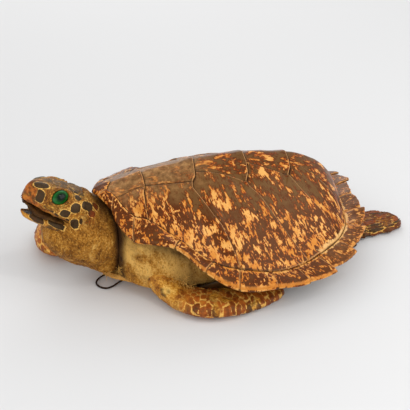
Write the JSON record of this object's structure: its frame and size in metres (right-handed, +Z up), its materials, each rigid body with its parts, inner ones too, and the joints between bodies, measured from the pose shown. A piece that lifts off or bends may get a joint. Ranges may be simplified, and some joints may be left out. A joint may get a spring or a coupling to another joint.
{
  "type": "mounted hawksbill turtle",
  "caption": "Stuffed and varnished hawksbill turtle with a keeled, saw-edged tortoiseshell carapace, open beak, glass eyes and folded flippers, lying flat.",
  "frame": {"origin": "on the ground plane, on the flat underside of the plastron, under the middle of the carapace", "axes": "+X towards the head, +Y to the animal's left, +Z up"},
  "size_m": [0.5782, 0.372, 0.1637],
  "materials": {
    "tortoiseshell": "polished and varnished horn",
    "bone": "matt, stained brown",
    "plastron_horn": "satin horn",
    "skin": "dried, wrinkled, satin varnish",
    "head_scales": "horny plates, satin varnish",
    "flipper_scales": "horny scales, satin varnish",
    "eye_glass": "polished green glass with a dark pupil",
    "iron_wire": "dark, rusted"
  },
  "bodies": {
    "root": {"carapace_bone": "bone", "nuchal_scute": "tortoiseshell", "vertebral_scute_1": "tortoiseshell", "vertebral_scute_2": "tortoiseshell", "vertebral_scute_3": "tortoiseshell", "vertebral_scute_4": "tortoiseshell", "vertebral_scute_5": "tortoiseshell", "costal_scute_left_1": "tortoiseshell", "costal_scute_left_2": "tortoiseshell", "costal_scute_left_3": "tortoiseshell", "costal_scute_left_4": "tortoiseshell", "costal_scute_left_5": "tortoiseshell", "marginal_scute_left_1": "tortoiseshell", "marginal_scute_left_2": "tortoiseshell", "marginal_scute_left_3": "tortoiseshell", "marginal_scute_left_4": "tortoiseshell", "marginal_scute_left_5": "tortoiseshell", "marginal_scute_left_6": "tortoiseshell", "marginal_scute_left_7": "tortoiseshell", "marginal_scute_left_8": "tortoiseshell", "marginal_scute_left_9": "tortoiseshell", "marginal_scute_left_10": "tortoiseshell", "marginal_scute_left_11": "tortoiseshell", "supracaudal_scute_left": "tortoiseshell", "costal_scute_right_1": "tortoiseshell", "costal_scute_right_2": "tortoiseshell", "costal_scute_right_3": "tortoiseshell", "costal_scute_right_4": "tortoiseshell", "costal_scute_right_5": "tortoiseshell", "marginal_scute_right_1": "tortoiseshell", "marginal_scute_right_2": "tortoiseshell", "marginal_scute_right_3": "tortoiseshell", "marginal_scute_right_4": "tortoiseshell", "marginal_scute_right_5": "tortoiseshell", "marginal_scute_right_6": "tortoiseshell", "marginal_scute_right_7": "tortoiseshell", "marginal_scute_right_8": "tortoiseshell", "marginal_scute_right_9": "tortoiseshell", "marginal_scute_right_10": "tortoiseshell", "marginal_scute_right_11": "tortoiseshell", "supracaudal_scute_right": "tortoiseshell", "plastron": "plastron_horn", "body_skin": "skin", "head": "head_scales", "lower_jaw": "head_scales", "neck": "skin", "tail": "skin", "left_glass_eye": "eye_glass", "left_front_flipper": "flipper_scales", "left_hind_flipper": "flipper_scales", "right_glass_eye": "eye_glass", "right_front_flipper": "flipper_scales", "right_hind_flipper": "flipper_scales", "hanging_wire": "iron_wire"}
  },
  "joints": []
}
